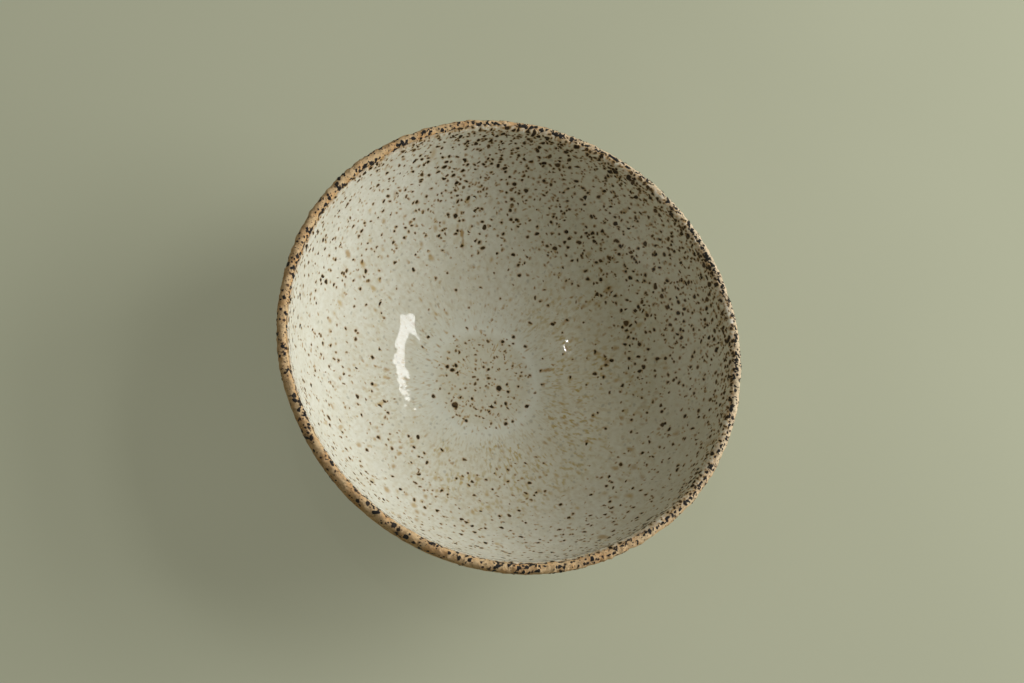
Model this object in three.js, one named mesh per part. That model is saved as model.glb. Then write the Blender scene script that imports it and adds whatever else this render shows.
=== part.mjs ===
// A hand-thrown stoneware bowl: raw speckled clay outside and on the lip, glossy white glaze inside.
// Millimetres, +Z up. The origin is on the bowl's axis, on the surface that it stands on.

import * as THREE from "three";

// Driving dimensions of the thrown body
const rimRadius = 110; // widest radius, at the outside of the lip
const lipWidth = 5; // thickness of the wall where the lip rounds over
const lipLean = (8 * Math.PI) / 180; // how far the wall still leans outwards under the lip
const insideDepth = 73; // from the top of the lip to the foot of the inner curve
const floorThickness = 7; // clay between the feet of the inner and the outer curve
const wallFootRadius = 18; // where both curves leave the level
const floorDiscRadius = 24; // low round disc in the middle of the floor
const floorDiscRise = 1.2; // height of that disc above the foot of the inner curve
const shoulderWidth = 6; // from the edge of the disc to where it has run out into the wall

// Driving dimensions of the glaze coat
const coatThickness = 0.7; // on the wall and on the floor disc
const poolThickness = 0.5; // what the pooled glaze adds round the disc
const poolSpread = 10; // radial reach of the pool to each side of its deepest ring
const bareLipDepth = 3; // from the top of the lip down to the edge of the glaze

// Driving dimensions of the foot ring
const footRadius = 44; // outer radius where the ring meets the body
const footHeight = 6; // from the standing face up to the level middle of the underside
const footWidth = 8; // thickness of the ring at its seat
const footTaper = 2; // how far its outer side leans in towards the standing face
const footBevel = 1; // broken edges on both sides of the standing face

// Clearance left where the coat and the ring are bonded to the body
const bondGap = 0.15;

// How finely the round stretches are divided
const turnSteps = 64;
const wallSteps = 12;
const lipSteps = 6;
const shoulderSteps = 5;
const seatSteps = 4;

// Heights and radii that follow from the dimensions
const undersideZ = footHeight + bondGap;
const floorZ = undersideZ + floorThickness;
const rimZ = floorZ + insideDepth;
const lipRadius = lipWidth / 2;
const lipZ = rimZ - lipRadius;
const shoulderRadius = floorDiscRadius + shoulderWidth;

const rawClay = new THREE.MeshStandardMaterial({ color: 0xb48a62, roughness: 0.85, metalness: 0 });
const footClay = new THREE.MeshStandardMaterial({ color: 0xa67e59, roughness: 0.9, metalness: 0 });
const whiteGlaze = new THREE.MeshStandardMaterial({ color: 0xd2d2c4, roughness: 0.12, metalness: 0 });

// Turns a profile of radius and height about +Z. The profile runs outwards below and inwards above.
function turned(name, profile, material) {
  const geometry = new THREE.LatheGeometry(profile, turnSteps);
  geometry.rotateX(Math.PI / 2);
  const mesh = new THREE.Mesh(geometry, material);
  mesh.name = name;
  return mesh;
}

// The rounded lip: half a circle, square to the leaning wall.
const lip = new THREE.EllipseCurve(
  rimRadius - lipRadius, lipZ, lipRadius, lipRadius, -lipLean, Math.PI - lipLean,
);

// Elliptic arc from the level foot of the wall up to a point of the lip, where it leans as the lip does.
function wallCurve(top, bottomZ) {
  const across = top.x - wallFootRadius;
  const down = top.y - bottomZ;
  const slope = (Math.tan(lipLean) * down) / across;
  const endSine = slope / (1 - slope);
  const endAngle = Math.asin(endSine);
  const xRadius = across / Math.cos(endAngle);
  const yRadius = down / (1 - endSine);
  const centreZ = bottomZ + yRadius;
  return new THREE.EllipseCurve(wallFootRadius, centreZ, xRadius, yRadius, -Math.PI / 2, -endAngle);
}

const outerWall = wallCurve(lip.getPoint(0), undersideZ);

// The inner wall, from the shoulder of the disc up to the edge of the glaze just under the lip.
const glazedWall = wallCurve(lip.getPoint(1), floorZ);
glazedWall.aStartAngle = -Math.acos((shoulderRadius - wallFootRadius) / glazedWall.xRadius);
glazedWall.aEndAngle = Math.asin((rimZ - bareLipDepth - glazedWall.aY) / glazedWall.yRadius);

// Height of a wall's curve at a radius: level up to its foot, then along the ellipse.
function heightOn(wall, radius) {
  const across = Math.max(radius - wallFootRadius, 0) / wall.xRadius;
  return wall.aY - wall.yRadius * Math.sqrt(1 - across * across);
}

// Clay surface under the glaze, from the axis outwards: the level disc, its soft shoulder, the wall.
function glazedClay() {
  const discZ = floorZ + floorDiscRise;
  const discStep = discZ - heightOn(glazedWall, floorDiscRadius);
  const points = [new THREE.Vector2(0, discZ)];
  for (let step = 0; step < shoulderSteps; step++) {
    const share = step / shoulderSteps;
    const radius = floorDiscRadius + shoulderWidth * share;
    const rise = (discStep * (1 + Math.cos(Math.PI * share))) / 2;
    points.push(new THREE.Vector2(radius, heightOn(glazedWall, radius) + rise));
  }
  return points.concat(glazedWall.getPoints(wallSteps));
}

// The thrown body: level underside, outer wall, half-round lip, inner wall and floor.
function stonewareBody() {
  const profile = [
    new THREE.Vector2(0, undersideZ),
    ...outerWall.getPoints(wallSteps),
    ...lip.getPoints(lipSteps).slice(1),
    ...glazedClay().reverse(),
  ];
  return turned("stoneware_body", profile, rawClay);
}

// Thickness of the coat at a radius: even, but for the glaze that ran down and pooled round the disc.
function coatAt(radius) {
  const offset = (radius - shoulderRadius) / poolSpread;
  return coatThickness + poolThickness * Math.exp(-offset * offset);
}

// Moves each point of a line off the clay, to its left, by a distance that depends on its radius.
function offClay(line, distanceAt) {
  return line.map((point, index) => {
    const before = line[Math.max(index - 1, 0)];
    const after = line[Math.min(index + 1, line.length - 1)];
    const along = after.clone().sub(before).normalize();
    const distance = distanceAt(point.x);
    return new THREE.Vector2(point.x - along.y * distance, point.y + along.x * distance);
  });
}

// The glaze coat over the inside, with a rounded edge just under the lip.
function innerGlaze() {
  const clay = glazedClay();
  const bonded = offClay(clay, () => bondGap);
  const surface = offClay(clay, (radius) => bondGap + coatAt(radius));
  const edge = bonded.at(-1).clone().add(surface.at(-1)).divideScalar(2);
  edge.y += coatAt(edge.x) / 2;
  return turned("inner_glaze", [...bonded, edge, ...surface.reverse()], whiteGlaze);
}

// The foot ring: a flat standing face with broken edges, a tapered outside and a seat under the body.
function footRing() {
  const innerRadius = footRadius - footWidth;
  const standRadius = footRadius - footTaper;
  const profile = [
    new THREE.Vector2(innerRadius, footBevel),
    new THREE.Vector2(innerRadius + footBevel, 0),
    new THREE.Vector2(standRadius - footBevel, 0),
    new THREE.Vector2(standRadius, footBevel),
  ];
  for (let step = 0; step <= seatSteps; step++) {
    const radius = footRadius - (footWidth * step) / seatSteps;
    profile.push(new THREE.Vector2(radius, heightOn(outerWall, radius) - bondGap));
  }
  profile.push(profile[0].clone());
  return turned("foot_ring", profile, footClay);
}

const bowl = new THREE.Group();
bowl.add(stonewareBody(), innerGlaze(), footRing());

export default bowl;
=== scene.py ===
"""A wheel-thrown stoneware bowl: raw speckled clay outside and on the lip, glossy white glaze inside."""
import itertools
import math

import bpy
import numpy as np
from mathutils import Matrix, Vector


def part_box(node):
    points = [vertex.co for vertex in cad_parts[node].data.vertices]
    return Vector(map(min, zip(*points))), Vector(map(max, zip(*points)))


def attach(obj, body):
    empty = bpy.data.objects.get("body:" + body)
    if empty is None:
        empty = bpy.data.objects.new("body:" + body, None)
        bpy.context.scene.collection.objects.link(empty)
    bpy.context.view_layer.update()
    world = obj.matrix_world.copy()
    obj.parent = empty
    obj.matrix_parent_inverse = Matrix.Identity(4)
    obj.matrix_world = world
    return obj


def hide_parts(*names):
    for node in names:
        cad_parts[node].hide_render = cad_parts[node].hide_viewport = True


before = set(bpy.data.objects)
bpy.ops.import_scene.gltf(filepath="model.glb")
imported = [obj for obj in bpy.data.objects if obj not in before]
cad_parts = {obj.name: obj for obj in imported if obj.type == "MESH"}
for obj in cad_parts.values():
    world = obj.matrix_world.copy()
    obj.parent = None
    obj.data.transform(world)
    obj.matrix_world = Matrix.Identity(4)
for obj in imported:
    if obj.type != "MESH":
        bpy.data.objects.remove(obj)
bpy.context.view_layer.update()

mm = 0.001

# Sizes that the frame gives
body_low, body_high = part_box("stoneware_body")
glaze_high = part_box("inner_glaze")[1]
foot_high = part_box("foot_ring")[1]
rim_radius = body_high.x
rim_z = body_high.z
underside_z = body_low.z
foot_radius = foot_high.x
bare_lip_depth = rim_z - glaze_high.z

# Sizes of the thrown body that its box doesn't show
lip_width = 4.4 * mm
lip_lean = math.radians(8)
floor_thickness = 7 * mm
wall_foot_radius = 18 * mm
floor_disc_radius = 24 * mm
floor_disc_rise = 1.0 * mm
shoulder_width = 6 * mm

# The coat of glaze: a film at its edge, a pool round the floor disc, and a back that is sunk into the clay
coat_thickness = 0.85 * mm
film_thickness = 0.05 * mm
pool_thickness = 0.9 * mm
pool_spread = 9 * mm
coat_sink = 0.15 * mm
highest_glaze = 0.375  # share of the lip's round, from outside, that no glaze reaches

# The foot ring, with a top that is sunk into the clay
foot_width = 8 * mm
foot_taper = 2 * mm
foot_bevel = 1 * mm
foot_sink = 0.4 * mm

# Sizes that follow
lip_radius = lip_width / 2
lip_z = rim_z - lip_radius
floor_z = underside_z + floor_thickness
shoulder_radius = floor_disc_radius + shoulder_width

# Marks of the throwing and of the firing
lip_waver = 0.55 * mm
clay_texture = 0.27 * mm
relief_reach = 9 * mm  # how far the texture of the clay goes down the inside
throwing_pitch = 6.5 * mm
throwing_depth = 0.16 * mm
trim_pitch = 2.2 * mm
trim_depth = 0.07 * mm
trim_height = 20 * mm
glaze_edge_waver = 0.8 * mm
glaze_edge_rag = 0.7 * mm
glaze_edge_climb = 3.4 * mm
glaze_ripple = 0.13 * mm
clay_speck_share = 0.42
foot_speck_share = 0.36

# Grains of manganese that stand out of the bare lip, each with a cluster that it belongs to
grain_count = 2600
grain_clusters = 260
least_grain = 0.35 * mm
grain_range = 0.75 * mm
grain_lift = 0.3 * mm
grain_unevenness = 0.4 * mm
grain_reach = 2.2 * mm  # no grain matters further off than this
grain_drop = 5 * mm  # how far the clusters go down the outside
border_share = 0.7  # clusters along the edge of the glaze
border_spread = 0.7 * mm
crowded_share = 0.55  # of these, the ones on the crowded side
crowded_spread = 1.1  # radians
gathered_share = 0.5  # grains that keep close to their cluster
cluster_width = 2.4 * mm
cluster_depth = 1.1 * mm
stray_spread = 0.5  # radians

# Specks and tan drips that stand out: x, y, half the length along the spoke, half the width
big_specks = (
    (-3.7 * mm, -19.7 * mm, 1.6 * mm, 1.6 * mm),
    (8.7 * mm, 2.0 * mm, 1.5 * mm, 1.5 * mm),
)
big_drips = (
    (-53.6 * mm, 50.2 * mm, 2.2 * mm, 1.3 * mm),
    (-50.6 * mm, 47.9 * mm, 3.4 * mm, 0.8 * mm),
    (22.8 * mm, 25.4 * mm, 3.0 * mm, 1.2 * mm),
)

# Sides of the bowl: where the glaze climbs highest, the specks crowd and the crest is painted pale where the
# key lamp lights it; the far one; the most stained one, whose ochre is partly painted shade
crowded_azimuth = math.radians(50)
crowded_side = (math.cos(crowded_azimuth), math.sin(crowded_azimuth), 0.0)
far_side = (0.0, 1.0, 0.0)
stained_shaded_side = (1.0, 0.0, 0.0)

# How finely the skins are divided: points of a ring, and steps from ring to ring
coarse = 300
middle = 600
fine = 1200
outside_step = 1.5 * mm
lip_step = 0.55 * mm
hidden_step = 6 * mm
glaze_edge_step = 0.46 * mm
glaze_wall_step = 1.2 * mm
glaze_floor_step = 0.9 * mm
foot_rings = 60

# The texture map, as circles: the side that shows fills the square, and the hidden side has a corner of it.
# The map of the foot ring is a circle with a hole.
show_map = ((0.5, 0.5), 0.49)
hide_map = ((0.08, 0.08), 0.07)
foot_map_hole = 0.14


def rgb(red, green, blue):
    return (red, green, blue, 1.0)


# Colours of the clay. A pair is a range of tones.
buff = rgb(0.63, 0.435, 0.22)
toast = rgb(0.54, 0.31, 0.125)
foot_buff = rgb(0.52, 0.37, 0.22)
foot_toast = rgb(0.42, 0.27, 0.15)
pale_grit = rgb(0.72, 0.535, 0.30)
rusty = rgb(0.66, 0.36, 0.12)
scorched = rgb(0.30, 0.18, 0.085)
# Pale tone of the crest, laid most where the key lamp lights it, so partly painted light
pale_and_lit_crest = rgb(0.73, 0.64, 0.47)
clay_tiny_speck = rgb(0.16, 0.095, 0.05)
clay_speck_halo = rgb(0.26, 0.16, 0.09)
clay_small_specks = (rgb(0.018, 0.016, 0.017), rgb(0.09, 0.055, 0.035))
clay_large_specks = (rgb(0.010, 0.010, 0.013), rgb(0.03, 0.022, 0.018))
grain_black = rgb(0.016, 0.014, 0.015)

# Colours of the glaze
clouds = (rgb(0.70, 0.697, 0.592), rgb(0.745, 0.747, 0.648))
fleck_grey = rgb(0.57, 0.53, 0.38)
pool_white = rgb(0.71, 0.725, 0.63)
# Ochre of the stains, also laid as painted shade on the wall that the key lamp leaves dark
ochre_stain_and_shade = rgb(0.49, 0.375, 0.14)
disc_tan = rgb(0.44, 0.385, 0.22)
deep_grey = rgb(0.36, 0.34, 0.25)
run_tans = (rgb(0.50, 0.35, 0.12), rgb(0.37, 0.22, 0.065))
drip_brown = rgb(0.36, 0.21, 0.055)
blot_tan = rgb(0.47, 0.32, 0.10)
edge_toast = rgb(0.46, 0.32, 0.18)
large_halo = rgb(0.38, 0.22, 0.055)
small_halo = rgb(0.38, 0.23, 0.065)
small_specks = (rgb(0.018, 0.011, 0.006), rgb(0.15, 0.088, 0.03))
large_specks = (rgb(0.013, 0.008, 0.005), rgb(0.08, 0.045, 0.017))

# Colours of the room and its light
floor_sages = (rgb(0.25, 0.258, 0.184), rgb(0.26, 0.268, 0.192))
backdrop_sage = rgb(0.34, 0.35, 0.25)
room_light = rgb(0.14, 0.127, 0.098)
horizon_light = rgb(1.3, 1.2, 0.95)
daylight = (0.985, 0.99, 1.0)

# Sizes of the room
floor_half = 30.0
lamp_distance = 1.5

# The camera of the photograph: 50 mm lens, the bowl tilted and rolled in the frame
image_width = 1024
lens = 50.0
sensor = 36.0
camera_distance = 0.652
camera_tilt = math.radians(24.5)
camera_roll = math.radians(37.2)
rim_centre_right_px = 6.9
rim_centre_up_px = 8.3


# Seeded value noise, from -1 to 1
class Noise:
    def __init__(self, seed, cells=48):
        self.cells = cells
        self.lattice = np.random.default_rng(seed).uniform(-1, 1, (cells, cells, cells))

    def __call__(self, points, size):
        scaled = np.asarray(points) / size
        cell = np.floor(scaled).astype(int)
        share = scaled - cell
        share = share * share * (3 - 2 * share)
        total = np.zeros(scaled.shape[:-1])
        for corner in itertools.product((0, 1), repeat=3):
            weight = np.prod(np.where(corner, share, 1 - share), axis=-1)
            x, y, z = np.moveaxis((cell + corner) % self.cells, -1, 0)
            total += weight * self.lattice[x, y, z]
        return total


noise = Noise(seed=7)


# A line of radius and height that is walked by its length
class Profile:
    def __init__(self, *stretches):
        self.points = np.concatenate(stretches)
        steps = np.hypot(*np.diff(self.points, axis=0).T)
        self.arc = np.concatenate([[0], np.cumsum(steps)])
        self.length = self.arc[-1]

    def at(self, arc):
        radius = np.interp(arc, self.arc, self.points[:, 0])
        height = np.interp(arc, self.arc, self.points[:, 1])
        return radius, height

    # Direction square to the line, on its right
    def outward(self, arc):
        reach = 0.3 * mm
        radius_after, height_after = self.at(np.minimum(arc + reach, self.length))
        radius_before, height_before = self.at(np.maximum(arc - reach, 0))
        across = radius_after - radius_before
        up = height_after - height_before
        length = np.hypot(across, up)
        return up / length, -across / length


def ellipse(centre, radii, start, end, count=400):
    angle = np.linspace(start, end, count)
    return np.stack([centre[0] + radii[0] * np.cos(angle), centre[1] + radii[1] * np.sin(angle)], axis=-1)


# Elliptic arc from the level foot of the wall up to a point of the lip
def wall_arc(lip_angle, bottom_z):
    across = rim_radius - lip_radius + lip_radius * math.cos(lip_angle) - wall_foot_radius
    down = lip_z + lip_radius * math.sin(lip_angle) - bottom_z
    slope = math.tan(lip_lean) * down / across
    end_sine = slope / (1 - slope)
    end_angle = math.asin(end_sine)
    radii = (across / math.cos(end_angle), down / (1 - end_sine))
    return ellipse((wall_foot_radius, bottom_z + radii[1]), radii, -math.pi / 2, -end_angle)


def level(start, end, height, count=60):
    radius = np.linspace(start, end, count)
    return np.stack([radius, np.full(count, height)], axis=-1)


# Height of a wall's curve at a radius: level up to its foot, then along the ellipse
def height_on(wall, radius):
    return np.interp(radius, wall[:, 0], wall[:, 1])


lip_centre = (rim_radius - lip_radius, lip_z)
underside = level(0, wall_foot_radius, underside_z)
outer_wall = wall_arc(-lip_lean, underside_z)
inner_wall = wall_arc(math.pi - lip_lean, floor_z)
lip_arc = ellipse(lip_centre, (lip_radius, lip_radius), -lip_lean, math.pi - lip_lean)


# The inside from the lip down: the wall, the soft shoulder of the floor disc, the level disc
def inside_stretches(count=60):
    high_wall = inner_wall[inner_wall[:, 0] > shoulder_radius][::-1]
    share = np.linspace(1, 0, count)
    radius = floor_disc_radius + shoulder_width * share
    disc_z = floor_z + floor_disc_rise
    disc_step = disc_z - height_on(inner_wall, floor_disc_radius)
    height = height_on(inner_wall, radius) + disc_step * (1 + np.cos(np.pi * share)) / 2
    return high_wall, np.stack([radius, height], axis=-1), level(floor_disc_radius, 0, disc_z)


# The clay's line runs from the axis below, round the lip, to the axis above. The glaze lies along its end.
inside = inside_stretches()
clay_line = Profile(underside, outer_wall, lip_arc, *inside)
inside_line = Profile(lip_arc[int(highest_glaze * len(lip_arc)):], *inside)
lip_start = wall_foot_radius + Profile(outer_wall).length
inside_start = clay_line.length - inside_line.length

# The edge of the glaze, before it wavers, by its length along the inside
edge_arc = inside_line.arc[np.argmax(inside_line.points[:, 1] < rim_z - bare_lip_depth)]


def ring_angles(count):
    return np.arange(count) * 2 * np.pi / count


def turned(radius, height, angle):
    return np.stack([radius * np.cos(angle), radius * np.sin(angle), height + 0 * angle], axis=-1)


def smooth_step(value, start, end):
    share = np.clip((value - start) / (end - start), 0, 1)
    return share * share * (3 - 2 * share)


# The lip isn't quite level or round. The warp moves clay and glaze alike and dies out towards the foot.
def warped(points):
    x, y, z = np.moveaxis(points, -1, 0)
    radius = np.maximum(np.hypot(x, y), 1 * mm)
    share = np.clip((z - underside_z) / (rim_z - underside_z), 0, 1) ** 2
    on_rim = np.stack([x / radius, y / radius, 0 * z], axis=-1) * rim_radius
    spread = lip_waver * share * (noise(on_rim, 55 * mm) + 0.5 * noise(on_rim + 1, 22 * mm))
    lift = lip_waver * share * (noise(on_rim + 2, 48 * mm) + 0.4 * noise(on_rim + 3, 18 * mm) - 0.4)
    return np.stack([x + spread * x / radius, y + spread * y / radius, z + lift], axis=-1)


# Where the glaze ends, by its length along the inside: it climbs nearest to the crest on the crowded side
def glaze_edge(angle):
    on_rim = turned(rim_radius, 0, angle)
    waver = glaze_edge_waver * (noise(on_rim, 26 * mm) + 0.6 * noise(on_rim + 1, 9 * mm))
    rag = glaze_edge_rag * (noise(on_rim + 2, 3 * mm) + 0.6 * noise(on_rim + 3, 1.5 * mm))
    climb = glaze_edge_climb * smooth_step(np.cos(angle - crowded_azimuth), -0.6, 0.5)
    return edge_arc + waver + rag - climb


# Places and sizes of the grains. Those on the crest of the crowded side are small.
def scattered_grains():
    dice = np.random.default_rng(23)
    at_border = dice.random(grain_clusters) < border_share
    crowded = crowded_azimuth + dice.normal(0, crowded_spread, grain_clusters)
    anywhere = dice.uniform(0, 2 * np.pi, grain_clusters)
    in_crowd = at_border & (dice.random(grain_clusters) < crowded_share)
    hub_angle = np.where(in_crowd, crowded, anywhere)
    border = inside_start + glaze_edge(hub_angle) - border_spread
    spread_arc = dice.uniform(lip_start - grain_drop, border, grain_clusters)
    border_arc = border + dice.normal(0, border_spread, grain_clusters)
    hub_arc = np.where(at_border, border_arc, spread_arc)
    hub = dice.integers(0, grain_clusters, grain_count)
    gathered = dice.random(grain_count) < gathered_share
    angle_reach = np.where(gathered, cluster_width / rim_radius, stray_spread)
    angle = hub_angle[hub] + angle_reach * dice.normal(0, 1, grain_count)
    arc = hub_arc[hub] + cluster_depth * dice.normal(0, 1, grain_count)
    size = least_grain + grain_range * dice.random(grain_count) ** 2.6
    crowd = smooth_step(np.cos(angle - crowded_azimuth), -0.4, 0.5)
    on_crest = smooth_step(inside_start + glaze_edge(angle) - arc, 0.3 * mm, 1.5 * mm)
    return angle, arc, size * (1 - 0.5 * crowd * on_crest)


grain_angle, grain_arc, grain_size = scattered_grains()


# 1 in the middle of a grain, 0 at its border and less outside
def grain_field(points, arc, angle):
    near = np.abs(grain_arc - arc) < grain_reach
    if len(angle) == 1 or not near.any():
        return np.full(len(angle), -1.0)
    around = angle[:, None] - grain_angle[near]
    around = (around + np.pi) % (2 * np.pi) - np.pi
    across = rim_radius * around + grain_unevenness * noise(points, 1.6 * mm)[:, None]
    along = arc - grain_arc[near] + grain_unevenness * noise(points + 1, 1.6 * mm)[:, None]
    return np.maximum(np.max(1 - np.hypot(across, along) / grain_size[near], axis=-1), -1)


# Height of the clay's own surface over its line: texture, throwing ridges, trimming lines and grains
def clay_relief(points, arc, angle, grain):
    height = points[..., 2] - underside_z
    bare = smooth_step(inside_start + relief_reach - arc, 0, 3 * mm)
    lip = smooth_step(arc, lip_start - 3 * mm, lip_start)
    texture = noise(points, 2.8 * mm) + 0.9 * noise(points + 1, 1.4 * mm)
    turn = angle / (2 * np.pi)
    ridge = np.cos(2 * np.pi * (points[..., 2] / throwing_pitch + turn))
    ridge = ridge * (0.6 + 0.4 * noise(points, 30 * mm))
    on_wall = smooth_step(height, trim_height, trim_height + 12 * mm) * (1 - lip)
    trim = np.cos(2 * np.pi * (arc / trim_pitch + turn)) * (0.6 + 0.6 * noise(points + 2, 18 * mm))
    trimmed = smooth_step(height, trim_height + 4 * mm, trim_height - 4 * mm)
    marks = throwing_depth * ridge * on_wall + trim_depth * trim * trimmed
    grains = grain_lift * smooth_step(grain, 0.0, 0.7)
    return bare * (clay_texture * (0.55 + 0.6 * lip) * texture + marks + grains)


# One ring of the clay, and how far each of its points lies inside a grain
def clay_row(arc, count):
    angle = ring_angles(count)
    radius, height = clay_line.at(arc)
    across, up = clay_line.outward(arc)
    base = turned(radius, height, angle)
    grain = grain_field(base, arc, angle)
    relief = clay_relief(base, arc, angle, grain)
    return warped(turned(radius + across * relief, height + up * relief, angle)), grain


# Thickness of the coat by radius and by the distance from its edge
def coat_at(radius, from_edge):
    pool = pool_thickness * np.exp(-(((radius - shoulder_radius) / pool_spread) ** 2))
    body = smooth_step(from_edge, -0.4 * mm, 2.4 * mm)
    return body * (coat_thickness + pool) + film_thickness


# One ring of the coat. Rings near the edge follow it, and deeper ones lie level.
def glaze_row(depth, count, hidden=False):
    angle = ring_angles(count)
    follow = smooth_step(depth, 14 * mm, 2 * mm)
    arc = np.minimum(edge_arc + depth + follow * (glaze_edge(angle) - edge_arc), inside_line.length)
    radius, height = inside_line.at(arc)
    across, up = inside_line.outward(arc)
    base = turned(radius, height, angle)
    ripple = glaze_ripple * (noise(base, 9 * mm) + 0.6 * noise(base + 1, 4.5 * mm))
    lift = -coat_sink if hidden else coat_at(radius, depth) + ripple * smooth_step(depth, 1 * mm, 6 * mm)
    return warped(turned(radius + across * lift, height + up * lift, angle))


# Faces between two rings of local corners, where the second ring follows the first along the profile
def strip(first, second):
    a = np.arange(max(first, second))
    if first == 1:
        return [np.stack([0 * a, 1 + (a + 1) % second, 1 + a], axis=-1)]
    if second == 1:
        return [np.stack([a, (a + 1) % first, 0 * a + first], axis=-1)]
    if first == second:
        after = (a + 1) % first
        return [np.stack([a, after, first + after, first + a], axis=-1)]
    a = np.arange(min(first, second))
    after = (a + 1) % len(a)
    near, half, far = 2 * a, 2 * a + 1, 2 * after
    if second == 2 * first:
        near, half, far = near + first, half + first, far + first
        corners = [(a, half, near), (a, after, half), (after, far, half)]
    else:
        a, after = a + first, after + first
        corners = [(near, half, a), (half, after, a), (half, far, after)]
    return [np.stack(triangle, axis=-1) for triangle in corners]


# Lays a ring out as a circle of the texture map
def laid_out(count, centre, radius):
    angle = ring_angles(count)
    return np.stack([centre[0] + radius * np.cos(angle), centre[1] + radius * np.sin(angle)], axis=-1)


# Joins rings into one closed mesh. charts gives, for each strip, the circle centre and its two radii.
def skin(name, rows, charts, material):
    starts = np.concatenate([[0], np.cumsum([len(row) for row in rows])])
    faces, layout = [], []
    for index, (centre, radius_a, radius_b) in enumerate(charts):
        following = (index + 1) % len(rows)
        first, second = len(rows[index]), len(rows[following])
        corner = np.concatenate([starts[index] + np.arange(first), starts[following] + np.arange(second)])
        flat = np.concatenate([laid_out(first, centre, radius_a), laid_out(second, centre, radius_b)])
        for local in strip(first, second):
            faces.extend(corner[local].tolist())
            layout.append(flat[local].reshape(-1, 2))
    mesh = bpy.data.meshes.new(name)
    mesh.from_pydata(np.concatenate(rows), [], faces)
    mesh.uv_layers.new(name="OFBake").data.foreach_set("uv", np.concatenate(layout).ravel())
    mesh.shade_smooth()
    mesh.materials.append(material)
    piece = bpy.data.objects.new(name, mesh)
    bpy.context.collection.objects.link(piece)
    return piece


# Rings of one count at even steps, as places along a line and their count
def evenly(start, end, step, count):
    places = np.linspace(start, end, max(2, round((end - start) / step)))
    return [(place, count) for place in places]


# Circles of the texture map for the strips of a skin that runs from pole to pole, with one map on each side
# of the split
def pole_charts(arcs, split, first_map, last_map):
    total = arcs[-1]
    charts = []
    for before, after in zip(arcs[:-1], arcs[1:]):
        if after <= split:
            centre, radius = first_map
            charts.append((centre, radius * before / split, radius * after / split))
        else:
            centre, radius = last_map
            start = min((total - before) / (total - split), 1)
            charts.append((centre, radius * start, radius * (total - after) / (total - split)))
    return charts


# A node tree that is built by calls, which take sockets and constants alike
class Nodes:
    def __init__(self, tree):
        self.tree = tree

    def put(self, socket, value):
        if isinstance(value, bpy.types.NodeSocket):
            self.tree.links.new(value, socket)
        else:
            socket.default_value = value

    def add(self, kind, inputs=None, **settings):
        node = self.tree.nodes.new(kind)
        for setting, value in settings.items():
            setattr(node, setting, value)
        for key, value in (inputs or {}).items():
            self.put(node.inputs[key], value)
        return node

    def math(self, operation, *values):
        return self.add("ShaderNodeMath", dict(enumerate(values)), operation=operation).outputs[0]

    def times(self, first, second):
        return self.math("MULTIPLY", first, second)

    def vector(self, operation, *values):
        node = self.add("ShaderNodeVectorMath", dict(enumerate(values)), operation=operation)
        return node.outputs["Value" if operation in ("LENGTH", "DOT_PRODUCT") else "Vector"]

    def scaled(self, vector, scale):
        node = self.add("ShaderNodeVectorMath", {"Vector": vector, "Scale": scale}, operation="SCALE")
        return node.outputs["Vector"]

    # Goes from low, where the value is start, to high, where it is end. Start may be the greater of the two.
    def fade(self, value, start, end, low=0.0, high=1.0):
        keys = {"Value": value, "From Min": start, "From Max": end, "To Min": low, "To Max": high}
        node = self.add("ShaderNodeMapRange", keys, interpolation_type="SMOOTHSTEP")
        return node.outputs["Result"]

    def noise(self, vector, size, detail=2.0, output="Fac"):
        keys = {"Vector": vector, "Scale": 1 / size, "Detail": detail}
        return self.add("ShaderNodeTexNoise", keys).outputs[output]

    def jittered(self, vector, size, reach):
        shake = self.vector("SUBTRACT", self.noise(vector, size, 0.0, "Color"), (0.5, 0.5, 0.5))
        return self.vector("ADD", vector, self.scaled(shake, 2 * reach))

    def mix(self, factor, first, second):
        return self.add("ShaderNodeMix", {0: factor, 6: first, 7: second}, data_type="RGBA").outputs[2]

    # Round spots, one for each cell that is let live. Returns the distance from their border, less than
    # nothing inside, and a random share for each.
    def spots(self, vector, cell, least, most, presence):
        node = self.add("ShaderNodeTexVoronoi", {"Vector": vector, "Scale": 1 / cell})
        dice = self.add("ShaderNodeSeparateColor", {"Color": node.outputs["Color"]}).outputs
        away = self.times(node.outputs["Distance"], cell)
        skewed = self.math("POWER", dice["Red"], 2.0)
        radius = self.math("MULTIPLY_ADD", skewed, most - least, least)
        alive = self.fade(self.math("SUBTRACT", presence, dice["Green"]), 0.0, 0.1)
        reach = self.math("MULTIPLY_ADD", self.math("ADD", radius, cell), alive, -cell)
        return self.math("SUBTRACT", away, reach), dice["Blue"]

    # Distance from the border of an oval on the plan that lies along its spoke
    def oval(self, flat, x, y, half_length, half_width):
        radius = math.hypot(x, y)
        offset = self.vector("SUBTRACT", flat, (x, y, 0.0))
        along = self.vector("DOT_PRODUCT", offset, (x / radius / half_length, y / radius / half_length, 0.0))
        across = self.vector("DOT_PRODUCT", offset, (-y / radius / half_width, x / radius / half_width, 0.0))
        away = self.vector("LENGTH", self.add("ShaderNodeCombineXYZ", {"X": along, "Y": across}).outputs[0])
        return self.math("MULTIPLY_ADD", away, half_width, -half_width)

    # 1 for rays that show the backdrop: those of the camera, mirrored ones and those through something clear
    def shows_backdrop(self):
        path = self.add("ShaderNodeLightPath").outputs
        seen = self.math("MAXIMUM", path["Is Camera Ray"], path["Is Glossy Ray"])
        return self.math("MAXIMUM", seen, path["Is Transmission Ray"])

    def attribute(self, name):
        return self.add("ShaderNodeAttribute", attribute_name=name).outputs["Fac"]


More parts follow.
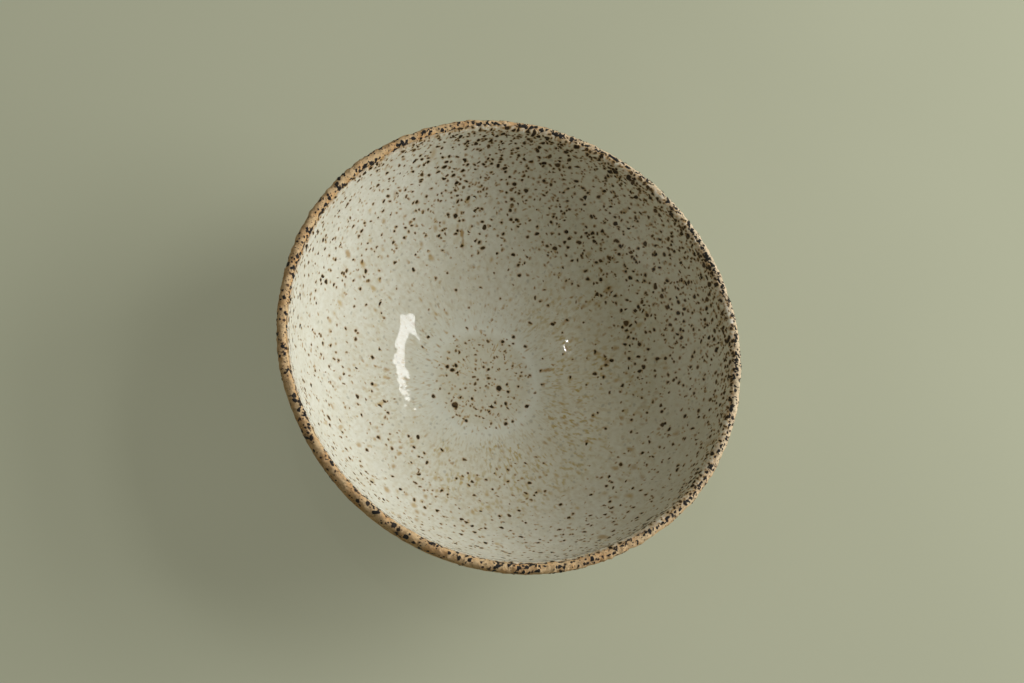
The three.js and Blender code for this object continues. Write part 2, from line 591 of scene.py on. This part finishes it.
# A material of one shader, whose colour is laid on coat by coat
class Finish(Nodes):
    def __init__(self, name, **constants):
        self.material = bpy.data.materials.new(name)
        self.material.use_nodes = True
        super().__init__(self.material.node_tree)
        self.shader = self.tree.nodes["Principled BSDF"]
        for socket, value in constants.items():
            self.shader.inputs[socket.replace("_", " ")].default_value = value
        self.place = self.add("ShaderNodeTexCoord").outputs["Object"]

    def paint(self, colour):
        self.colour = colour
        self.put(self.shader.inputs["Base Color"], colour)

    # Lays a colour over what is there, where the share is above 0
    def cover(self, share, colour):
        self.paint(self.mix(share, self.colour, colour))

    # Soft patches: a fade by noise of the given size
    def patches(self, size, detail, start, end, low=0.0, high=1.0):
        return self.fade(self.noise(self.place, size, detail), start, end, low, high)

    def rough(self, socket):
        self.put(self.shader.inputs["Roughness"], socket)

    def mirror(self, socket):
        self.put(self.shader.inputs["Specular IOR Level"], socket)

    def bump(self, height, distance):
        node = self.add("ShaderNodeBump", {"Height": height, "Distance": distance})
        self.put(self.shader.inputs["Normal"], node.outputs["Normal"])


# Tones of the bare clay: toasted patches, pale grit, rust, scorched spots, and a crest that is pale on the
# crowded side,
# which faces the key lamp: partly the clay's own pale tone, partly painted light
def tone_clay(finish, base, toasted, height):
    finish.paint(finish.mix(finish.patches(9 * mm, 4.0, 0.36, 0.66), base, toasted))
    finish.cover(finish.patches(2.4 * mm, 3.0, 0.32, 0.72, 0.0, 0.5), pale_grit)
    finish.cover(finish.patches(4.5 * mm, 2.0, 0.48, 0.68, 0.0, 0.5), rusty)
    finish.cover(finish.patches(1.3 * mm, 2.0, 0.5, 0.74, 0.0, 0.55), scorched)
    # Painted light in part: the crest is painted paler on the side that the key lamp lights
    crest = finish.fade(height, rim_z - 2.5 * mm, rim_z - 0.3 * mm)
    toward_crowd = finish.vector("DOT_PRODUCT", finish.place, crowded_side)
    finish.cover(finish.times(crest, finish.fade(toward_crowd, 0.0, rim_radius, 0.15, 0.7)), pale_and_lit_crest)


# Raw stoneware: toasted buff clay with a gritty face, blue-black specks in loose clusters, and dark grains
def raw_clay(name, base, toasted, speck_share):
    finish = Finish(name, Specular_IOR_Level=0.3)
    height = finish.add("ShaderNodeSeparateXYZ", {"Vector": finish.place}).outputs["Z"]
    tone_clay(finish, base, toasted, height)

    loose = finish.patches(9 * mm, 1.0, 0.3, 0.72, 0.4 * speck_share, 1.7 * speck_share)
    share = finish.times(loose, finish.fade(height, rim_z - 8 * mm, rim_z - 3 * mm, 1.0, 2.4))
    shaken = finish.jittered(finish.place, 1.1 * mm, 0.35 * mm)
    large, large_dice = finish.spots(shaken, 3.6 * mm, 0.55 * mm, 1.3 * mm, share)
    small, small_dice = finish.spots(shaken, 2.2 * mm, 0.35 * mm, 0.75 * mm, share)
    tiny = finish.spots(shaken, 1.4 * mm, 0.2 * mm, 0.45 * mm, share)[0]
    rough_edge = finish.patches(0.8 * mm, 1.0, 0.2, 0.8, -0.15, 0.15)
    on_grain = finish.fade(finish.math("ADD", finish.attribute("grain"), rough_edge), -0.04, 0.16)
    finish.cover(finish.fade(tiny, 0.1 * mm, -0.1 * mm, 0.0, 0.8), clay_tiny_speck)
    finish.cover(finish.fade(large, 0.5 * mm, 0.0, 0.0, 0.45), clay_speck_halo)
    finish.cover(finish.fade(small, 0.08 * mm, -0.12 * mm), finish.mix(small_dice, *clay_small_specks))
    finish.cover(finish.fade(large, 0.08 * mm, -0.15 * mm), finish.mix(large_dice, *clay_large_specks))
    finish.cover(on_grain, grain_black)

    specks = finish.fade(finish.math("MINIMUM", large, small), 0.0, -0.2 * mm)
    finish.rough(finish.fade(finish.math("MAXIMUM", specks, on_grain), 0.0, 1.0, 0.9, 0.55))
    grit = finish.noise(finish.place, 0.9 * mm, 3.0)
    finish.bump(finish.math("MULTIPLY_ADD", specks, 0.4, grit), 0.4 * mm)
    return finish.material


# The finish of the glaze, with the measures that its marks go by. What is laid along the spokes comes out
# stretched down the wall.
class Glaze(Finish):
    def __init__(self, name):
        super().__init__(name, IOR=1.5)
        flat = self.vector("MULTIPLY", self.place, (1.0, 1.0, 0.0))
        self.radius = self.vector("LENGTH", flat)
        self.spoke = self.vector("NORMALIZE", flat)
        self.edge = self.attribute("from_edge")
        self.shaken = self.jittered(self.place, 2.8 * mm, 0.9 * mm)
        self.uneven_flat = self.jittered(flat, 1.6 * mm, 0.45 * mm)
        self.uneven = self.patches(13 * mm, 1.0, 0.35, 0.68, 0.5, 1.3)
        down = self.add("ShaderNodeCombineXYZ", {"Z": self.times(self.radius, 0.4)}).outputs["Vector"]
        self.along_spokes = self.vector("ADD", self.scaled(self.spoke, 34 * mm), down)

    # A fade by radius
    def zone(self, start, end, low=0.0, high=1.0):
        return self.fade(self.radius, start, end, low, high)

    # A fade from outside the floor disc, over its border, to the inside
    def on_disc(self, margin, low, high):
        return self.zone(floor_disc_radius + margin, floor_disc_radius - margin, low, high)

    # A fade from the side away from a direction, at -1, to the side towards it, at 1
    def by_side(self, direction, start, end, low, high):
        return self.fade(self.vector("DOT_PRODUCT", self.spoke, direction), start, end, low, high)


# The white itself: cloudy and flecked, and clearest where the glaze pooled
def lay_white(glaze):
    glaze.paint(glaze.mix(glaze.patches(24 * mm, 3.0, 0.3, 0.7), *clouds))
    glaze.cover(glaze.patches(2.2 * mm, 3.0, 0.3, 0.75, 0.0, 0.4), fleck_grey)
    from_pool = glaze.math("ABSOLUTE", glaze.math("SUBTRACT", glaze.radius, shoulder_radius + 2 * mm))
    glaze.cover(glaze.fade(from_pool, 10 * mm, 3 * mm, 0.0, 0.6), pool_white)


# Ochre streaks and an ochre wash down the wall, heaviest on the stained side, which lies in the key lamp's
# shade: partly real stain, partly painted shade that darkens and warms it; and a tan floor disc
def lay_stains_and_shade(glaze):
    share = glaze.times(glaze.zone(26 * mm, 36 * mm), glaze.zone(96 * mm, 50 * mm, 0.2, 1.0))
    streak = glaze.fade(glaze.noise(glaze.along_spokes, 1.1 * mm, 1.0), 0.46, 0.72)
    streak = glaze.times(glaze.times(streak, share), glaze.uneven)
    stain = glaze.math("MULTIPLY_ADD", streak, 0.7, glaze.times(share, 0.14))
    # Painted shade in part: the ochre is weighted to the wall that the key lamp leaves in shade
    glaze.cover(glaze.times(stain, glaze.by_side(stained_shaded_side, -0.4, 0.7, 0.4, 1.0)), ochre_stain_and_shade)
    glaze.cover(glaze.on_disc(3 * mm, 0.0, 0.28), disc_tan)


# Grey spots that lie deep, tan runs and drips down the wall, and tan blots, densest on the floor disc
def lay_tan_marks(glaze):
    deep = glaze.spots(glaze.scaled(glaze.shaken, 1.07), 2.6 * mm, 0.4 * mm, 1.0 * mm, 0.6)[0]
    glaze.cover(glaze.fade(deep, 0.3 * mm, -0.5 * mm, 0.0, 0.5), deep_grey)
    run_place = glaze.jittered(glaze.along_spokes, 1.4 * mm, 0.3 * mm)
    run_share = glaze.times(glaze.zone(110 * mm, 60 * mm, 0.25, 0.65), glaze.uneven)
    runs, run_dice = glaze.spots(run_place, 2.0 * mm, 0.3 * mm, 0.65 * mm, run_share)
    glaze.cover(glaze.fade(runs, 0.4 * mm, -0.45 * mm, 0.0, 0.75), glaze.mix(run_dice, *run_tans))
    for drip in big_drips:
        away = glaze.oval(glaze.uneven_flat, *drip)
        glaze.cover(glaze.fade(away, 0.3 * mm, -0.9 * mm, 0.0, 0.85), drip_brown)
    blot_share = glaze.on_disc(4 * mm, 0.55, 0.95)
    blots = glaze.spots(glaze.shaken, 2.1 * mm, 0.3 * mm, 0.65 * mm, blot_share)[0]
    glaze.cover(glaze.fade(blots, 0.2 * mm, -0.4 * mm, 0.0, 0.6), blot_tan)


# Large and small dark specks, each as spots gives them. They are many on the floor disc, few where the glaze
# pooled, and most on the far side and at the edge of the crowded one.
def dark_specks(glaze):
    to_far_side = glaze.by_side(far_side, 0.1, 0.9, 0.6, 1.15)
    to_near_side = glaze.by_side(far_side, 0.1, -0.7, 0.0, 0.47)
    far_wall = glaze.times(glaze.zone(42 * mm, 102 * mm, 0.2, 1.1), to_far_side)
    near_wall = glaze.times(glaze.zone(34 * mm, 50 * mm), to_near_side)
    on_wall = glaze.math("MAXIMUM", far_wall, near_wall)
    on_floor = glaze.zone(30 * mm, 21 * mm, 0.14, 0.45)
    crowding = glaze.by_side(crowded_side, -0.6, 0.7, 0.2, 1.0)
    at_edge = glaze.times(glaze.fade(glaze.edge, 13 * mm, 2 * mm, 0.0, 1.9), crowding)
    share = glaze.math("ADD", glaze.math("MAXIMUM", on_wall, on_floor), at_edge)
    share = glaze.times(share, glaze.patches(7 * mm, 1.0, 0.28, 0.72, 0.55, 1.45))

    large, large_dice = glaze.spots(glaze.shaken, 2.9 * mm, 0.55 * mm, 1.15 * mm, glaze.times(share, 0.75))
    small_share = glaze.math("MULTIPLY_ADD", share, 0.35, glaze.on_disc(4 * mm, 0.0, 0.4))
    small, small_dice = glaze.spots(glaze.shaken, 2.0 * mm, 0.42 * mm, 0.72 * mm, small_share)
    rim_share = glaze.times(glaze.fade(glaze.edge, 10 * mm, 1 * mm, 0.0, 1.1), crowding)
    rim_specks = glaze.spots(glaze.shaken, 2.5 * mm, 0.6 * mm, 1.3 * mm, rim_share)[0]
    swell = glaze.fade(on_wall, 0.5, 1.3, 0.0, 0.1 * mm)
    large = glaze.math("SUBTRACT", glaze.math("MINIMUM", large, rim_specks), swell)
    small = glaze.math("SUBTRACT", small, swell)
    for speck in big_specks:
        large = glaze.math("MINIMUM", large, glaze.oval(glaze.uneven_flat, *speck))
    return large, large_dice, small, small_dice


# Glossy off-white glaze with black and tan specks, thin and toasted along its edge
def white_glaze():
    glaze = Glaze("white_glaze")
    lay_white(glaze)
    lay_stains_and_shade(glaze)
    lay_tan_marks(glaze)
    rag = glaze.patches(1.6 * mm, 2.0, 0.25, 0.75, -0.9 * mm, 0.9 * mm)
    thin = glaze.fade(glaze.math("ADD", glaze.edge, rag), 2.2 * mm, 0.2 * mm)
    glaze.cover(glaze.times(thin, 0.7), edge_toast)

    large, large_dice, small, small_dice = dark_specks(glaze)
    glaze.cover(glaze.fade(large, 0.7 * mm, -0.1 * mm, 0.0, 0.75), large_halo)
    glaze.cover(glaze.fade(small, 0.45 * mm, -0.1 * mm, 0.0, 0.7), small_halo)
    small_tone = glaze.mix(glaze.math("POWER", small_dice, 2.0), *small_specks)
    glaze.cover(glaze.fade(small, 0.05 * mm, -0.25 * mm, 0.0, 0.9), small_tone)
    large_tone = glaze.mix(glaze.math("POWER", large_dice, 3.0), *large_specks)
    glaze.cover(glaze.fade(large, 0.08 * mm, -0.2 * mm, 0.0, 0.96), large_tone)

    gloss = glaze.patches(6 * mm, 2.0, 0.3, 0.7, 0.03, 0.08)
    glaze.rough(glaze.math("MULTIPLY_ADD", thin, 0.3, gloss))
    glaze.mirror(glaze.fade(glaze.math("MINIMUM", large, small), 0.05 * mm, -0.2 * mm, 0.5, 0.15))
    pits = glaze.fade(large, 0.1 * mm, -0.3 * mm)
    waves = glaze.noise(glaze.place, 3.2 * mm, 0.0)
    glaze.bump(glaze.math("MULTIPLY_ADD", pits, -0.4, waves), 0.1 * mm)
    return glaze.material


def set_attribute(piece, name, values):
    layer = piece.data.attributes.new(name, "FLOAT", "POINT")
    layer.data.foreach_set("value", np.concatenate(values))


# The thrown body
def bowl_clay():
    underside_end = 30 * mm
    fine_start = lip_start - 6 * mm
    fine_end = inside_start + relief_reach
    rings = [(0.0, 1)]
    rings += evenly(outside_step, underside_end, outside_step, coarse)
    rings += evenly(underside_end + 1 * mm, fine_start - 1 * mm, outside_step, middle)
    rings += evenly(fine_start, fine_end, lip_step, fine)
    rings += evenly(fine_end + 1 * mm, fine_end + 2 * mm, 1 * mm, middle)
    rings += evenly(fine_end + 4 * mm, clay_line.length - 4 * mm, hidden_step, coarse)
    rings.append((clay_line.length, 1))
    rows, grains = zip(*(clay_row(arc, count) for arc, count in rings))
    charts = pole_charts([arc for arc, count in rings], fine_end, show_map, hide_map)
    piece = skin("bowl_clay", rows, charts, raw_clay("raw_clay", buff, toast, clay_speck_share))
    set_attribute(piece, "grain", grains)
    return piece


# The coat of glaze, from the middle of its hidden side round the edge to the middle of the floor
def bowl_glaze():
    depth_end = inside_line.length - edge_arc
    hidden = [(depth_end, 1)]
    hidden += evenly(depth_end - hidden_step, 4 * mm, -hidden_step, coarse)
    hidden += [(1 * mm, middle), (0.2 * mm, fine)]
    shown = evenly(0, 12 * mm, glaze_edge_step, fine)
    shown += evenly(13 * mm, depth_end - 34 * mm, glaze_wall_step, middle)
    shown += evenly(depth_end - 33 * mm, depth_end - 0.8 * mm, glaze_floor_step, coarse)
    shown.append((depth_end, 1))
    rows = [glaze_row(depth, count, hidden=True) for depth, count in hidden]
    rows += [glaze_row(depth, count) for depth, count in shown]
    arcs = [depth_end - depth for depth, count in hidden] + [depth_end + depth for depth, count in shown]
    piece = skin("bowl_glaze", rows, pole_charts(arcs, depth_end, hide_map, show_map), white_glaze())
    from_edge = [np.zeros(count) for depth, count in hidden]
    from_edge += [np.full(count, depth) for depth, count in shown]
    set_attribute(piece, "from_edge", from_edge)
    return piece


# Outline of the foot ring: rounded edges along the standing face, a tapered outside and a sunk top
def foot_line():
    inner = foot_radius - foot_width
    stand = foot_radius - foot_taper
    bevel = (foot_bevel, foot_bevel)
    round_in = ellipse((inner + foot_bevel, foot_bevel), bevel, math.pi, 1.5 * math.pi, 8)
    round_out = ellipse((stand - foot_bevel, foot_bevel), bevel, 1.5 * math.pi, 2 * math.pi, 8)
    top = [[radius, height_on(outer_wall, radius) + foot_sink] for radius in (foot_radius, inner)]
    return Profile(round_in, round_out, top, round_in[:1])


# One ring of the foot, textured above its standing face
def foot_row(line, arc):
    angle = ring_angles(coarse)
    radius, height = line.at(arc)
    across, up = line.outward(arc)
    base = turned(radius, height, angle)
    texture = 0.6 * clay_texture * (noise(base, 3.4 * mm) + 0.7 * noise(base + 1, 1.9 * mm))
    relief = texture * smooth_step(height, 0.2 * mm, 1.5 * mm)
    return turned(radius + across * relief, np.maximum(height + up * relief, 0), angle)


# The foot ring
def bowl_foot():
    line = foot_line()
    rows = [foot_row(line, arc) for arc in np.linspace(0, line.length, foot_rings, endpoint=False)]
    centre, outer = show_map
    radii = np.linspace(foot_map_hole, outer, foot_rings + 1)
    charts = [(centre, before, after) for before, after in zip(radii[:-1], radii[1:])]
    material = raw_clay("foot_clay", foot_buff, foot_toast, foot_speck_share)
    piece = skin("bowl_foot", rows, charts, material)
    set_attribute(piece, "grain", [np.full(len(row), -1.0) for row in rows])
    return piece


def make_bowl():
    for piece, node, slot in (
        (bowl_clay(), "stoneware_body", "raw_clay"),
        (bowl_glaze(), "inner_glaze", "white_glaze"),
        (bowl_foot(), "foot_ring", "foot_clay"),
    ):
        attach(piece, "root")
        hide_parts(node)


# A plain pale floor. Where it is seen, it glows in its own colour, also out of the lamps' reach.
def make_floor():
    near, far = -floor_half, floor_half
    mesh = bpy.data.meshes.new("floor")
    mesh.from_pydata([(near, near, 0), (far, near, 0), (far, far, 0), (near, far, 0)], [], [(0, 1, 2, 3)])
    finish = Finish("floor_paint", Roughness=0.9, Specular_IOR_Level=0.2)
    finish.paint(finish.mix(finish.patches(0.25, 2.0, 0.3, 0.7), *floor_sages))
    glow = finish.fade(finish.vector("LENGTH", finish.place), 0.4, 2.4, 0.66, 1.2)
    finish.put(finish.shader.inputs["Emission Color"], finish.colour)
    finish.put(finish.shader.inputs["Emission Strength"], finish.times(finish.shows_backdrop(), glow))
    mesh.materials.append(finish.material)
    floor = bpy.data.objects.new("floor", mesh)
    bpy.context.collection.objects.link(floor)


rim_centre = Vector((0, 0, rim_z))


def make_camera():
    back = Vector((0, -math.sin(camera_tilt), math.cos(camera_tilt)))
    side = Vector((1, 0, 0))
    upward = Vector((0, math.cos(camera_tilt), math.sin(camera_tilt)))
    right = side * math.cos(camera_roll) + upward * math.sin(camera_roll)
    up = upward * math.cos(camera_roll) - side * math.sin(camera_roll)
    per_px = camera_distance * sensor / lens / image_width
    place = rim_centre + back * camera_distance
    place -= right * (rim_centre_right_px * per_px) + up * (rim_centre_up_px * per_px)
    data = bpy.data.cameras.new("camera")
    data.lens = lens
    data.sensor_width = sensor
    data.sensor_fit = "HORIZONTAL"
    camera = bpy.data.objects.new("camera", data)
    camera.matrix_world = Matrix((right, up, back)).transposed().to_4x4()
    camera.location = place
    bpy.context.collection.objects.link(camera)
    bpy.context.scene.camera = camera


# An area lamp that faces the rim's centre from a direction
def make_lamp(name, direction, size, power, mirrored=True):
    data = bpy.data.lights.new(name, "AREA")
    data.shape = "RECTANGLE"
    data.size, data.size_y = size
    data.energy = power
    data.color = daylight
    lamp = bpy.data.objects.new(name, data)
    toward = Vector(direction).normalized()
    lamp.location = rim_centre + toward * lamp_distance
    lamp.rotation_euler = toward.to_track_quat("Z", "Y").to_euler()
    lamp.visible_glossy = mirrored
    bpy.context.collection.objects.link(lamp)


# Daylight from the side, and two lamps that the glaze mirrors: a window's highlight and a small glint
def make_lamps():
    make_lamp("key", direction=(0.59, 0.67, 0.45), size=(1.0, 0.75), power=21.4, mirrored=False)
    make_lamp("window", direction=(0.349, 0.515, 0.783), size=(0.66, 0.26), power=4.8)
    make_lamp("glint", direction=(-0.239, -0.067, 0.969), size=(0.01, 0.06), power=0.5)


# Soft light from all round, strongest along the horizon, from where it reaches the outside. What the camera
# and the glaze show instead is the colour of the backdrop.
def make_room():
    world = bpy.data.worlds.new("room")
    world.use_nodes = True
    room = Nodes(world.node_tree)
    direction = room.add("ShaderNodeTexCoord").outputs["Generated"]
    height = room.add("ShaderNodeSeparateXYZ", {"Vector": direction}).outputs["Z"]
    light = room.mix(room.fade(height, 0.1, 0.03), room_light, horizon_light)
    colour = room.mix(room.shows_backdrop(), light, backdrop_sage)
    room.put(world.node_tree.nodes["Background"].inputs["Color"], colour)
    bpy.context.scene.world = world


make_camera()
make_bowl()
make_floor()
make_lamps()
make_room()
bpy.context.scene.view_settings.view_transform = "Standard"
